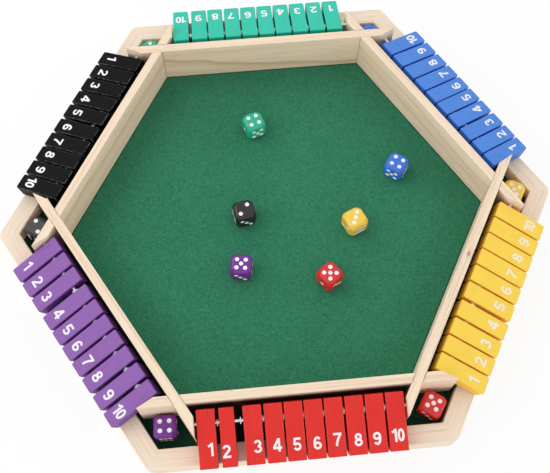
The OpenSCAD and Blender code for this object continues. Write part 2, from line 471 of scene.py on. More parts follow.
def wood_group():
    """Growth rings, one dark band, fibres and one knot in solid wood whose trunk ran along Y."""

    def fill(tree, given):
        place, seed = given["Place"], given["Seed"]
        apart = vector_calc(tree, "SUBTRACT", place, given["Knot"])
        nearness = vector_calc(tree, "LENGTH", vector_calc(tree, "MULTIPLY", apart, (1, 0.6, 1)))
        knot_share = calc(tree, "DIVIDE", nearness, given["Knot Size"])
        knot = fade(tree, knot_share, *KNOT_EDGE)
        late = calc(tree, "MAXIMUM", late_wood(tree, given, knot_share), dark_band(tree, given))

        fibre = noise(tree, place, seed, FIBRES, 3.0)
        streak = ramp(tree, noise(tree, place, seed, FINE_STREAKS), *STREAK_RISE)
        blush = ramp(tree, noise(tree, place, seed, BLUSH_PATCHES), *BLUSH_RISE, 0.0, BLUSH_MOST)
        canal = ramp(tree, noise(tree, place, seed, RESIN_CANALS, 1.0), *CANAL_RISE)
        wood = mix(tree, late, given["Early Wood"], given["Late Wood"])
        for pink in (streak, blush):
            wood = mix(tree, times(tree, pink, given["Streaks"]), wood, given["Blush"])
        wood = mix(tree, times(tree, knot, KNOT_TINT), wood, given["Knot Wood"])
        tone = minus(tree, lifted(tree, fibre, FIBRE_TONE), times(tree, canal, CANAL_TONE))
        height = minus(tree, fibre, times(tree, late, LATE_SINK))
        height = minus(tree, height, times(tree, canal, CANAL_SINK))
        rough = lifted(tree, fibre, FIBRE_ROUGHNESS)
        return {"Color": shaded(tree, wood, tone), "Height": height, "Roughness": rough}

    inputs = {
        "Place": NOWHERE, "Seed": 0.0,
        "Early Wood": WHITE, "Late Wood": WHITE, "Blush": WHITE, "Knot Wood": WHITE,
        "Ring Width": 0.004, "Pith": NOWHERE, "Contrast": 0.5, "Streaks": 0.5,
        "Band Height": -1.0, "Band Slope": 0.0, "Band Width": 0.003, "Band Strength": 0.0,
        "Knot": (0, 0, -1), "Knot Size": 0.001,
    }
    return built_group("Wood grain", inputs, SURFACE, fill)


def edge_group():
    """Mask of the edges and corners of a block, broken up as wear is: wear on tiles and dice, and a
    painted highlight on the boards and the black tiles.
    """

    def fill(tree, given):
        apart = vector_calc(tree, "SUBTRACT", given["Place"], given["Middle"])
        apart = vector_calc(tree, "ABSOLUTE", apart)
        inside = split_axes(tree, vector_calc(tree, "SUBTRACT", given["Half Size"], apart))
        near = [fade(tree, inside[i], 0.0, given["Reach"]) for i in range(3)]
        both = calc(tree, "MINIMUM", near[0], near[1])
        either = calc(tree, "MAXIMUM", near[0], near[1])
        edge = calc(tree, "MAXIMUM", both, calc(tree, "MINIMUM", either, near[2]))
        break_up = noise(tree, given["Place"], given["Seed"], WEAR_BREAKS, 3.0)
        return {"Mask": times(tree, edge, ramp(tree, break_up, *WEAR_RISE))}

    inputs = {"Place": NOWHERE, "Seed": 0.0, "Middle": NOWHERE, "Half Size": (1, 1, 1),
              "Reach": 0.001}
    return built_group("Edge wear and highlight", inputs, {"Mask": 0.0}, fill)


def film_group():
    """A coat of paint or a moulded skin: faint streaks along X, blotches and fine texture."""

    def fill(tree, given):
        place, seed = given["Place"], given["Seed"]
        streak = noise(tree, place, seed, BRUSH_LINES, 3.0)
        blotch = noise(tree, place, seed, FILM_BLOTCHES)
        texture = noise(tree, place, seed, FILM_TEXTURE, 1.0)
        tone = plus(tree, swing(tree, streak, given["Streaks"]), 1.0)
        tone = plus(tree, tone, swing(tree, blotch, given["Blotches"]))
        height = plus(tree, times(tree, streak, given["Streaks"]),
                      times(tree, texture, given["Texture"]))
        rough = plus(tree, given["Gloss"], swing(tree, blotch, FILM_ROUGHNESS))
        return {"Color": shaded(tree, given["Paint"], tone), "Height": height, "Roughness": rough}

    inputs = {"Place": NOWHERE, "Seed": 0.0, "Paint": WHITE, "Streaks": 0.1, "Blotches": 0.1,
              "Texture": 0.1, "Gloss": 0.4}
    return built_group("Paint film", inputs, SURFACE, fill)


def film_of(tree, place, seed, colour, streaks, blotches, texture, gloss):
    """Outputs of a film of paint, print or plastic in one colour."""
    return effect(tree, film_group(), {
        "Place": place, "Seed": seed, "Paint": rgba(colour),
        "Streaks": streaks, "Blotches": blotches, "Texture": texture, "Gloss": gloss,
    })


# ---------------------------------------------------------------- wood materials

# How much whiter the rails' early wood is than the boards': painted light that makes up for the shade
# on the low rails
RAIL_PAINTED_LIGHT = 0.14
# How far a board's edges are painted pale as a highlight, how pale, and how much of that shows
EDGE_HIGHLIGHT_REACH = 1.1 * MM
EDGE_HIGHLIGHT_WHITENING = 0.5
EDGE_HIGHLIGHT_SHARE = 0.6
# Shadowed wood at the joints and down behind the tiles
SHADOWED_WOOD = (0.02, 0.012, 0.008, 1)
# Depths below a board's top between which painted shade darkens its outer face, and how dark it is at
# both
TROUGH_SPAN = (1.5 * MM, 9 * MM)
TROUGH_DARK = (0.25, 0.96)
# How far under the outer face that begins, and how far beside a crossing it fades
TROUGH_SKIN = (0.5 * MM, 0.1 * MM)
TROUGH_FADE = 4 * MM
# Full and last reach of a joint's dark line, how dark it is, and its reach down from a board's top
JOINT_LINE = (0.12 * MM, 0.45 * MM)
JOINT_DARK = 0.45
JOINT_DROP = (0.9 * MM, 0.5 * MM)


def pine(name, timber, board=None):
    """Waxed pine of a rail, or of a board that crosses over or under those beside it."""
    colours, game = bpy.context.scene.game_colours, bpy.context.scene.game_sizes
    made, tree, shader, place, seed = started(name)
    # Painted light: the rails' early wood is made whiter
    rail_painted_light = 0.0 if board else RAIL_PAINTED_LIGHT
    grain = effect(tree, wood_group(), {
        "Place": place, "Seed": seed,
        "Early Wood": rgba(mix_colours(colours.early_wood, (1, 1, 1), rail_painted_light)),
        "Late Wood": rgba(colours.late_wood),
        "Blush": rgba(colours.blush_wood), "Knot Wood": rgba(colours.knot_wood),
        **timber,
    })
    colour = grain["Color"]
    if board:
        # Painted highlight: the board's edges are painted paler
        middle = game.tray_apothem + game.board_thickness / 2
        pale = effect(tree, edge_group(), {
            "Place": place, "Seed": seed, "Middle": (middle, 0, 0),
            "Half Size": (game.board_thickness / 2, 1, game.board_top), "Reach": EDGE_HIGHLIGHT_REACH,
        })["Mask"]
        wear_and_highlight_colour = rgba(mix_colours(colours.early_wood, (1, 1, 1), EDGE_HIGHLIGHT_WHITENING))
        colour = mix(tree, times(tree, pale, EDGE_HIGHLIGHT_SHARE), colour, wear_and_highlight_colour)
        # Painted shade down the outer face behind the tiles, with dark lines at the joints
        dark = calc(tree, "MAXIMUM", board_trough_shade(tree, place), joint_lines(tree, place, board))
        colour = mix(tree, dark, colour, SHADOWED_WOOD)
    looks = {"Base Color": colour, "Roughness": grain["Roughness"], "Specular IOR Level": 0.3}
    dressed(tree, shader, looks, grain["Height"], depth=0.12 * MM, strength=0.5)
    return made


def board_trough_shade(tree, place):
    """How far painted shade has darkened a board's outer face as it goes down behind its row of tiles.
    """
    game = bpy.context.scene.game_sizes
    outer = game.tray_apothem + game.board_thickness
    spot = split_axes(tree, place)
    outside = ramp(tree, spot["X"], *(outer - skin for skin in TROUGH_SKIN))
    along = calc(tree, "ABSOLUTE", spot["Y"])
    crossing = outer * tan(HALF_ANGLE)
    between = fade(tree, along, crossing - TROUGH_FADE, crossing)
    down = ramp(tree, spot["Z"], *(game.board_top - drop for drop in TROUGH_SPAN), *TROUGH_DARK)
    return times(tree, times(tree, outside, between), down)


def joint_lines(tree, place, board):
    """Thin dark lines where a board meets the faces of the boards beside it."""
    game = bpy.context.scene.game_sizes
    sides = vector_calc(tree, "ABSOLUTE", place)
    out = vector_calc(tree, "DOT_PRODUCT", sides, (cos(SIDE_ANGLE), sin(SIDE_ANGLE), 0))
    apart = []
    for face in (game.tray_apothem, game.tray_apothem + game.board_thickness):
        apart.append(calc(tree, "ABSOLUTE", minus(tree, out, face)))
    line = ramp(tree, calc(tree, "MINIMUM", *apart), *JOINT_LINE, JOINT_DARK, 0.0)
    if board == "under":
        return line
    height = split_axes(tree, place)["Z"]
    return times(tree, line, fade(tree, height, *(game.board_top - drop for drop in JOINT_DROP)))


def bare_plywood():
    """Plywood of the underside, with the long figure of its outer ply along X."""
    made, tree, shader, _, _ = started("bare plywood")
    here = add(tree, "ShaderNodeTexCoord").outputs["Object"]
    turned = add(tree, "ShaderNodeMapping",
                 {"Vector": here, "Rotation": (0, 0, pi / 2)}).outputs["Vector"]
    colours = bpy.context.scene.game_colours
    grain = effect(tree, wood_group(), {
        "Place": turned, "Seed": 3.0,
        "Early Wood": rgba(colours.plywood),
        "Late Wood": rgba(mix_colours(colours.plywood, colours.knot_wood, 0.4)),
        "Blush": rgba(mix_colours(colours.plywood, colours.knot_wood, 0.25)),
        "Knot Wood": rgba(colours.knot_wood),
        "Ring Width": 0.006, "Pith": (0.3, 0, 0.02), "Contrast": 0.6, "Streaks": 0.4,
    })
    looks = {"Base Color": grain["Color"], "Roughness": grain["Roughness"]}
    dressed(tree, shader, looks, grain["Height"], depth=0.15 * MM, strength=0.6)
    return made


# ---------------------------------------------------------------- paint, plastic, steel and felt

# Strength of the brush's streaks in a row's paint
BRUSH_STREAKS = {"red": 0.22, "yellow": 0.12, "blue": 0.22, "green": 0.12, "black": 0.22,
                 "purple": 0.22}
# How much of a row's paint shows through the print of its figures
SHOW_THROUGH = {"red": 0.03, "yellow": 0.26, "blue": 0.04, "green": 0.03, "black": 0.02, "purple": 0.07}
# Powers that deepen the channels of a paint on the sides of its tiles, as painted shade
SIDE_SHADE_POWERS = (1.4, 1.4, 1.4)
YELLOW_SIDE_SHADE_POWERS = (1.1, 1.6, 1.3)
# Where the first red tile has split, along it and to the side, and how wide the split is
SPLIT_END = -3.4 * MM
SPLIT_SIDE = 1.9 * MM
SPLIT_WIDTH = 0.22 * MM
SPLIT_STRENGTH = 0.85
SPLIT_DARK = (0.05, 0.004, 0.004, 1)


def painted_tile(row):
    """Satin paint of one player's tiles: deeper on their sides as painted shade, a little worn on their
    edges, and on the black tiles paler there still as a painted highlight.
    """
    colours, tiles = bpy.context.scene.game_colours, bpy.context.scene.tile_sizes
    colour = getattr(colours, row)
    made, tree, shader, place, seed = started(f"{row} tile paint")
    film = film_of(tree, place, seed, colour, streaks=BRUSH_STREAKS[row], blotches=0.14,
                   texture=0.25, gloss=0.4)
    top = tiles.thickness / 2 - tiles.hole_up
    height = split_axes(tree, place)["Z"]
    below = fade(tree, height, top - tiles.edge, top - 0.2 * tiles.edge)
    powers = YELLOW_SIDE_SHADE_POWERS if row == "yellow" else SIDE_SHADE_POWERS
    side_shade_paint = rgba(tuple(channel ** power for channel, power in zip(colour, powers)))
    # Painted shade: below the top edge the sides take the deeper paint
    coat = mix(tree, below, film["Color"], mix(tree, 0.85, film["Color"], side_shade_paint))
    edge_wear_and_highlight = effect(tree, edge_group(), {
        "Place": place, "Seed": seed,
        "Middle": (TILE_MIDDLE, 0, -tiles.hole_up),
        "Half Size": (tile_length() / 2, tile_homes(ROWS.index(row))[-1].width / 2,
                      tiles.thickness / 2),
        "Reach": tiles.edge,
    })["Mask"]
    # Worn edges; the black tiles' larger share is a painted highlight
    wear_and_highlight_colour = rgba(mix_colours(colour, (0.8, 0.8, 0.8), 0.3 if row == "black" else 0.12))
    coat = mix(tree, times(tree, edge_wear_and_highlight, 0.7), coat, wear_and_highlight_colour)
    if row == "red":
        coat = mix(tree, split(tree, place, seed), coat, SPLIT_DARK)
    looks = {"Base Color": coat, "Roughness": film["Roughness"],
             "Specular IOR Level": 0.06 if row == "black" else 0.2}
    dressed(tree, shader, looks, film["Height"], depth=0.08 * MM, strength=0.5)
    return made


def split(tree, place, seed):
    """A fine split that runs in from the inner end of the first red tile."""
    spot = split_axes(tree, place)
    waver = times(tree, noise(tree, place, seed, (240, 0, 0)), 0.7 * MM)
    off = calc(tree, "ABSOLUTE", minus(tree, plus(tree, spot["Y"], waver), SPLIT_SIDE))
    line = ramp(tree, off, 0.0, SPLIT_WIDTH, SPLIT_STRENGTH, 0.0)
    line = times(tree, line, fade(tree, spot["X"], SPLIT_END - 2 * MM, SPLIT_END))
    first = calc(tree, "COMPARE", seed, tile_seed(0, 1), 0.1)
    return times(tree, line, first)


def tile_seed(row, number):
    """Number that makes one tile's paint different from the next."""
    return 11 * row + 1.37 * number


def plain_film(name, colour, strength, **film):
    """Print or enamel that is one film, with bumps of a strength."""
    made, tree, shader, place, seed = started(name)
    coat = film_of(tree, place, seed, colour, **film)
    looks = {"Base Color": coat["Color"], "Roughness": coat["Roughness"]}
    dressed(tree, shader, looks, coat["Height"], depth=0.05 * MM, strength=strength)
    return made


def printed_figure(row):
    """White ink of a row's figures, which its paint shows through a little."""
    colours = bpy.context.scene.game_colours
    ink = mix_colours(colours.figure, getattr(colours, row), SHOW_THROUGH[row])
    return plain_film(f"{row} figure print", ink, strength=0.4,
                      streaks=0.08, blotches=0.06, texture=0.2, gloss=0.42)


def pip_enamel():
    """White enamel in the pips."""
    return plain_film("pip enamel", bpy.context.scene.game_colours.pip, strength=0.3,
                      streaks=0.02, blotches=0.06, texture=0.1, gloss=0.3)


def die_plastic(row):
    """Glossy moulded plastic of one player's dice, rubbed dull at its edges."""
    colours, dice = bpy.context.scene.game_colours, bpy.context.scene.dice_sizes
    colour = getattr(colours, f"{row}_die")
    made, tree, shader, place, seed = started(f"{row} die plastic")
    film = film_of(tree, place, seed, colour, streaks=0.05, blotches=0.14, texture=0.06, gloss=0.14)
    half = dice.edge / 2
    edge_wear_and_highlight = effect(tree, edge_group(), {
        "Place": place, "Seed": seed, "Half Size": (half, half, half),
        "Reach": dice.rounding * 0.6,
    })["Mask"]
    wear_and_highlight_colour = rgba(mix_colours(colour, (0.9, 0.9, 0.9), 0.06))
    looks = {"Base Color": mix(tree, times(tree, edge_wear_and_highlight, 0.3), film["Color"], wear_and_highlight_colour),
             "Roughness": plus(tree, film["Roughness"], times(tree, edge_wear_and_highlight, 0.12)),
             "Specular IOR Level": 0.5}
    dressed(tree, shader, looks, film["Height"], depth=0.05 * MM, strength=0.3)
    return made


def bright_steel():
    """Drawn steel wire with faint lines along it."""
    made, tree, shader, place, seed = started("bright steel")
    drawn = noise(tree, place, seed, (2400, 90, 2400))
    stain = noise(tree, place, seed, (300, 120, 300))
    colour = bpy.context.scene.game_colours.steel
    dull = rgba(mix_colours(colour, (0.25, 0.24, 0.22), 0.2))
    looks = {"Base Color": mix(tree, ramp(tree, stain, 0.45, 0.75), rgba(colour), dull),
             "Roughness": ramp(tree, drawn, 0.3, 0.7, 0.26, 0.44), "Metallic": 0.4}
    dressed(tree, shader, looks, drawn, depth=0.03 * MM, strength=0.4)
    return made


# How often the felt's nap, clumps, fibres and lint vary, per metre
FELT_NAP = (16, 16, 16)
FELT_CLUMPS = (400, 400, 400)
FELT_FIBRES = (1150, 1150, 1150)
FELT_LINT = (520, 520, 520)
# Tone of the felt without its nap and what that adds at most, and what its clumps and fibres add
NAP_TONE = (-0.1, 0.24)
CLUMP_TONE = 0.66
FELT_FIBRE_TONE = 1.34
# Levels of noise over which a bit of lint begins to show
LINT_RISE = (0.84, 0.87)
# Distances from the boards over which painted shade darkens the felt towards them, and in the line at
# their foot
TRAY_EDGE = (38 * MM, 2 * MM)
FOOT_LINE = (1.6 * MM, 0.4 * MM)
# Tone of the painted shade on the felt beside the boards in the tray, in the line at their foot, and
# beyond them
TRAY_EDGE_TONE = 0.86
FOOT_TONE = 0.5
TROUGH_TONE = 0.7


def felt_cloth():
    """Short green felt: matted fibres, soft blotches where the nap lies over, a little lint."""
    made, tree, shader, place, seed = started("green felt")
    colour = bpy.context.scene.game_colours.felt
    nap = noise(tree, place, seed, FELT_NAP, 3.0)
    clump = noise(tree, place, seed, FELT_CLUMPS, 3.0)
    fibre = noise(tree, place, seed, FELT_FIBRES)
    lint = ramp(tree, noise(tree, place, seed, FELT_LINT, 0.0), *LINT_RISE)
    tone = lifted(tree, nap, NAP_TONE)
    tone = plus(tree, tone, times(tree, clump, CLUMP_TONE))
    tone = plus(tree, tone, times(tree, fibre, FELT_FIBRE_TONE))
    # The felt's own tone times the painted shade towards and beyond the boards
    felt = shaded(tree, rgba(colour), times(tree, tone, felt_painted_shade(tree, place)))
    pale = rgba(mix_colours(colour, (0.7, 0.8, 0.75), 0.3))
    looks = {"Base Color": mix(tree, times(tree, lint, 0.8), felt, pale), "Roughness": 0.95,
             "Specular IOR Level": 0.08, "Sheen Weight": 0.06, "Sheen Roughness": 0.6}
    height = plus(tree, times(tree, clump, 0.6), fibre)
    dressed(tree, shader, looks, height, depth=0.35 * MM, strength=0.6)
    return made


def felt_painted_shade(tree, place):
    """Painted shade on the felt: darker towards the boards in the tray, in a line at their foot, and in
    the troughs and corners beyond them.
    """
    game = bpy.context.scene.game_sizes
    outs = []
    for side in range(3):
        turn = FIRST_ROW_ANGLE + SIDE_ANGLE * side
        out = vector_calc(tree, "DOT_PRODUCT", place, (cos(turn), sin(turn), 0))
        outs.append(calc(tree, "ABSOLUTE", out))
    out = calc(tree, "MAXIMUM", calc(tree, "MAXIMUM", outs[0], outs[1]), outs[2])
    edge = game.tray_apothem
    tray = ramp(tree, out, *(edge - reach for reach in TRAY_EDGE), 1.0, TRAY_EDGE_TONE)
    foot = ramp(tree, out, *(edge - reach for reach in FOOT_LINE), 1.0, FOOT_TONE)
    beyond = ramp(tree, out, edge, edge + game.board_thickness, 1.0, TROUGH_TONE)
    return times(tree, times(tree, tray, foot), beyond)


# ---------------------------------------------------------------- mesh helpers


def mesh_of(name, points, faces):
    """A mesh from points and faces."""
    made = bpy.data.meshes.new(name)
    made.from_pydata([tuple(p) for p in points], [], faces)
    made.update()
    return made


def finished(bm, name):
    """A mesh from a bmesh that is cleaned, turned outwards and freed."""
    bmesh.ops.remove_doubles(bm, verts=bm.verts, dist=1e-7)
    bmesh.ops.recalc_face_normals(bm, faces=bm.faces)
    made = bpy.data.meshes.new(name)
    bm.to_mesh(made)
    bm.free()
    return made


def mark(mesh, seed):
    """Keeps each vertex's place in the piece's own frame, and the piece's seed, for the materials."""
    mesh.attributes.new("at", "FLOAT_VECTOR", "POINT")
    mesh.attributes.new("seed", "FLOAT", "POINT")
    places = [channel for vertex in mesh.vertices for channel in vertex.co]
    mesh.attributes["at"].data.foreach_set("vector", places)
    mesh.attributes["seed"].data.foreach_set("value", [seed] * len(mesh.vertices))


# From which angle on an edge stays crisp, and how much large faces lead the normals, out of 100
CRISP_ANGLE = radians(40)
FACE_LEAD = 80


def smoothed(made):
    """Smooth faces with crisp edges, their normals led by the large faces."""
    made.data.shade_smooth()
    made.data.set_sharp_from_angle(angle=CRISP_ANGLE)
    even = made.modifiers.new("even", "WEIGHTED_NORMAL")
    even.keep_sharp = True
    even.weight = FACE_LEAD


def piece(name, mesh, materials, body, place=None, stands_for=(), seed=0.0):
    """Puts a mesh in the scene as a piece that rides on a body."""
    mark(mesh, seed)
    while len(mesh.materials) < len(materials):
        mesh.materials.append(None)
    for i, material in enumerate(materials):
        mesh.materials[i] = material
    made = bpy.data.objects.new(name, mesh)
    bpy.context.scene.collection.objects.link(made)
    if place is not None:
        made.matrix_world = place
    smoothed(made)
    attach(made, body)
    if stands_for:
        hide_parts(*stands_for)
    return made


def carved(mesh, cutter, operation="DIFFERENCE"):
    """The mesh with a closed cutter mesh cut out of it, or what lies in both."""
    scene = bpy.context.scene
    whole = bpy.data.objects.new("whole", mesh)
    tool = bpy.data.objects.new("tool", cutter)
    for made in (whole, tool):
        scene.collection.objects.link(made)
    carving = whole.modifiers.new("carving", "BOOLEAN")
    carving.operation = operation
    carving.solver = "EXACT"
    carving.material_mode = "INDEX"
    carving.object = tool
    bpy.context.view_layer.update()
    graph = bpy.context.evaluated_depsgraph_get()
    result = bpy.data.meshes.new_from_object(whole.evaluated_get(graph))
    for made in (whole, tool):
        bpy.data.objects.remove(made)
    if len(result.polygons) <= len(mesh.polygons):
        raise RuntimeError(f"nothing was cut out of {mesh.name}")
    return result


def bow(x, y, wide, tall, start, end, steps=12):
    """Points on an upright ellipse's arc, angles in degrees."""
    turns = [radians(start + (end - start) * i / steps) for i in range(steps + 1)]
    return [(x + wide * cos(a), y + tall * sin(a)) for a in turns]


def arc(centre, radius, start, end, steps):
    """The same on a circle, as vectors."""
    return [Vector(p) for p in bow(*centre, radius, radius, start, end, steps)]


def box_into(bm, low, high, place=None):
    """Adds a box to a bmesh."""
    made = bmesh.ops.create_cube(bm, size=1.0)["verts"]
    middle = (Vector(low) + Vector(high)) / 2
    spans = Vector(high) - Vector(low)
    for vertex in made:
        vertex.co = Vector(v * s for v, s in zip(vertex.co, spans)) + middle
    if place is not None:
        bmesh.ops.transform(bm, matrix=place, verts=made)


def rod_into(bm, start, end, radius, sides=32):
    """Adds a closed round rod between two points to a bmesh."""
    span = Vector(end) - Vector(start)
    turn = span.to_track_quat("Z", "Y").to_matrix().to_4x4()
    place = Matrix.Translation((Vector(start) + Vector(end)) / 2) @ turn
    bmesh.ops.create_cone(bm, cap_ends=True, segments=sides, radius1=radius, radius2=radius,
                          depth=span.length, matrix=place)


def ease(bm, edges, radius, segments):
    """Rounds edges of a bmesh."""
    bmesh.ops.bevel(bm, geom=edges, offset=radius, segments=segments, profile=0.5,
                    affect="EDGES", clamp_overlap=True)


def lofted(name, loops):
    """A closed mesh through loops of points, with a face over each end."""
    bm = bmesh.new()
    rings = [[bm.verts.new(p) for p in loop] for loop in loops]
    bm.faces.new(rings[0])
    bm.faces.new(rings[-1])
    for ring, after in zip(rings, rings[1:]):
        for i in range(len(ring)):
            k = (i + 1) % len(ring)
            bm.faces.new((ring[i], ring[k], after[k], after[i]))
    return finished(bm, name)


# ---------------------------------------------------------------- rails

# Flat steps in a rail's rounded corner and in its eased edges, and the bevel along its foot
CORNER_STEPS = 8
EDGE_STEPS = 4
FOOT_BEVEL = 0.4 * MM


def rail_mesh(game):
    """One rail with mitred ends, a rebate underneath and eased edges, in its row's frame."""
    inner = game.rail_outer - game.rail_width
    centre_out = game.rail_outer - game.corner_radius
    corner = Vector((centre_out, -centre_out * tan(HALF_ANGLE)))
    outer_line = arc(corner, game.corner_radius, -30, 0, CORNER_STEPS)
    shrink = inner * tan(HALF_ANGLE) / -outer_line[0].y
    stations = [(Vector((inner, p.y * shrink)), p) for p in outer_line]
    stations += [(Vector((a.x, -a.y)), Vector((b.x, -b.y))) for a, b in reversed(stations)]

    edge, wide, top = game.rail_edge, game.rail_width, game.rail_top
    profile = [Vector((0, FLOOR_Z))]
    profile += arc((edge, top - edge), edge, 180, 90, EDGE_STEPS)
    profile += arc((wide - edge, top - edge), edge, 90, 0, EDGE_STEPS)
    profile += [Vector((wide, FOOT_BEVEL)), Vector((wide - FOOT_BEVEL, 0)),
                Vector((game.rebate_width, 0)), Vector((game.rebate_width, FLOOR_Z))]
    loops = []
    for inside, outside in stations:
        loops.append([(*inside.lerp(outside, p.x / wide), p.y) for p in profile])
    return lofted("rail", loops)


# Height, slope, width and strength of the dark band in wood that has none
NO_BAND = (-1.0, 0.0, 0.003, 0.0)


def cut(ring, pith, contrast, streaks, band=NO_BAND):
    """How a piece was cut from its tree: rings, fine streaks, and its dark band."""
    height, slope, width, strength = band
    return {"Ring Width": ring, "Pith": pith, "Contrast": contrast, "Streaks": streaks,
            "Band Height": height, "Band Slope": slope, "Band Width": width,
            "Band Strength": strength}


RAIL_WOOD = (
    cut(0.0052, (0.030, 0, 0.055), 0.08, 0.16),
    cut(0.0045, (-0.040, 0, 0.060), 0.07, 0.16),
    cut(0.0060, (0.055, 0, 0.030), 0.06, 0.14),
    cut(0.0048, (0.020, 0, -0.060), 0.07, 0.16),
    cut(0.0056, (-0.050, 0, -0.040), 0.07, 0.12),
    cut(0.0050, (0.045, 0, 0.050), 0.07, 0.16),
)
BOARD_WOOD = (
    cut(0.0070, (0.060, 0, 0.020), 0.14, 0.35),
    cut(0.0085, (0.070, 0, -0.015), 0.16, 0.60),
    cut(0.0100, (0.055, 0, 0.012), 0.22, 0.45, (0.0290, -0.02, 0.0014, 0.4)),
    cut(0.0130, (0.050, 0, 0.006), 0.18, 0.30, (0.0172, 0.076, 0.0019, 0.62)),
    cut(0.0110, (0.065, 0, -0.010), 0.30, 0.40, (0.0260, 0.01, 0.0018, 0.4)),
    cut(0.0075, (0.060, 0, 0.025), 0.16, 0.45),
)
YELLOW_BOARD_KNOT = {"Knot": (0.1418, 0.0172, 0.0395), "Knot Size": 0.0017}
# Numbers that make each piece's grain different from the next
RAIL_SEEDS = [1.0 + 7.3 * row for row in range(SIDES)]
BOARD_SEEDS = [4.0 + 5.1 * row for row in range(SIDES)]


class GAME_OT_build_rails(bpy.types.Operator):
    """Build the six mitred pine rails of the frame"""

    bl_idname = "game.build_rails"
    bl_label = "Rails"

    def execute(self, context):
        game = context.scene.game_sizes
        for row, name in enumerate(ROWS):
            wood = pine(f"{name} rail pine", RAIL_WOOD[row])
            piece(f"rail_{name}", rail_mesh(game), [wood], "root", row_turn(row),
                  ["rail_frame"], seed=RAIL_SEEDS[row])
        return {"FINISHED"}


# ---------------------------------------------------------------- base panel and felt

FELT_RINGS = 60
NAP_SWELL = 0.06 * MM


def hexagon_points(apothem):
    """Corners of the hexagon whose flat sides face the players."""
    reach = apothem / cos(HALF_ANGLE)
    return [Vector((reach * cos(i * SIDE_ANGLE), reach * sin(i * SIDE_ANGLE))) for i in range(SIDES)]


class GAME_OT_finish_base(bpy.types.Operator):
    """Give the base panel its plywood finish"""

    bl_idname = "game.finish_base"
    bl_label = "Base Panel"

    def execute(self, context):
        panel = frame["nodes"]["base_panel"]
        material = bare_plywood()
        for material_slot in panel.material_slots:
            material_slot.material = material
        return {"FINISHED"}


def hexagon_net(corners, rings):
    """Points and triangles that fill a hexagon ring by ring, and the places of its rim's points."""
    points, rows = [Vector((0, 0))], [[0]]
    for ring in range(1, rings + 1):
        row = []
        for i in range(SIDES):
            start, end = corners[i] * ring / rings, corners[(i + 1) % SIDES] * ring / rings
            for step in range(ring):
                row.append(len(points))
                points.append(start.lerp(end, step / ring))
        rows.append(row)
    faces = []
    for ring in range(1, rings + 1):
        outer, inner = rows[ring], rows[ring - 1]
        for side in range(SIDES):
            for step in range(ring):
                a = outer[side * ring + step]
                b = outer[(side * ring + step + 1) % len(outer)]
                c = inner[(side * (ring - 1) + step) % len(inner)]
                faces.append((a, b, c))
                if step < ring - 1:
                    d = inner[(side * (ring - 1) + step + 1) % len(inner)]
                    faces.append((b, d, c))
    return points, faces, rows[-1]


def nap_height(x, y):
    """Rise and fall of the felt's nap, between its lowest at -1 and its highest at 1."""
    return sin(x * 610 + 1.7 * sin(y * 240)) * sin(y * 530 + 1.3 * sin(x * 310))


def felt_mesh(game):
    """A sheet of felt whose top rises and falls with the nap."""
    flat, faces, rim = hexagon_net(hexagon_points(game.felt_apothem), FELT_RINGS)
    top = [(p.x, p.y, FLOOR_Z - NAP_SWELL + NAP_SWELL * nap_height(p.x, p.y)) for p in flat]
    bottom = [(p.x, p.y, felt_low.z) for p in flat]
    count = len(flat)
    faces += [tuple(i + count for i in reversed(face)) for face in faces]
    for i, spot in enumerate(rim):
        after = rim[(i + 1) % len(rim)]
        faces.append((spot, spot + count, after + count, after))
    return mesh_of("felt", top + bottom, faces)


class GAME_OT_lay_felt(bpy.types.Operator):
    """Lay the sheet of green felt on the base panel"""

    bl_idname = "game.lay_felt"
    bl_label = "Felt"

    def execute(self, context):
        game = context.scene.game_sizes
        made = piece("felt_sheet", felt_mesh(game), [felt_cloth()], "root",
                     stands_for=["playing_felt"], seed=2.0)
        return {"FINISHED"}


# ---------------------------------------------------------------- divider boards

# How far the tool that cuts a notch reaches to both sides, and the play of a wire in its hole
NOTCH_REACH = 200 * MM
WIRE_PLAY = 0.03 * MM


def row_half(game):
    """Half the length of a row, between the mitred ends of the boards beside it."""
    board_outer = game.tray_apothem + game.board_thickness
    tip = game.rail_outer - game.rail_width - game.tip_gap
    return (board_outer - tip * sin(HALF_ANGLE)) / cos(HALF_ANGLE)


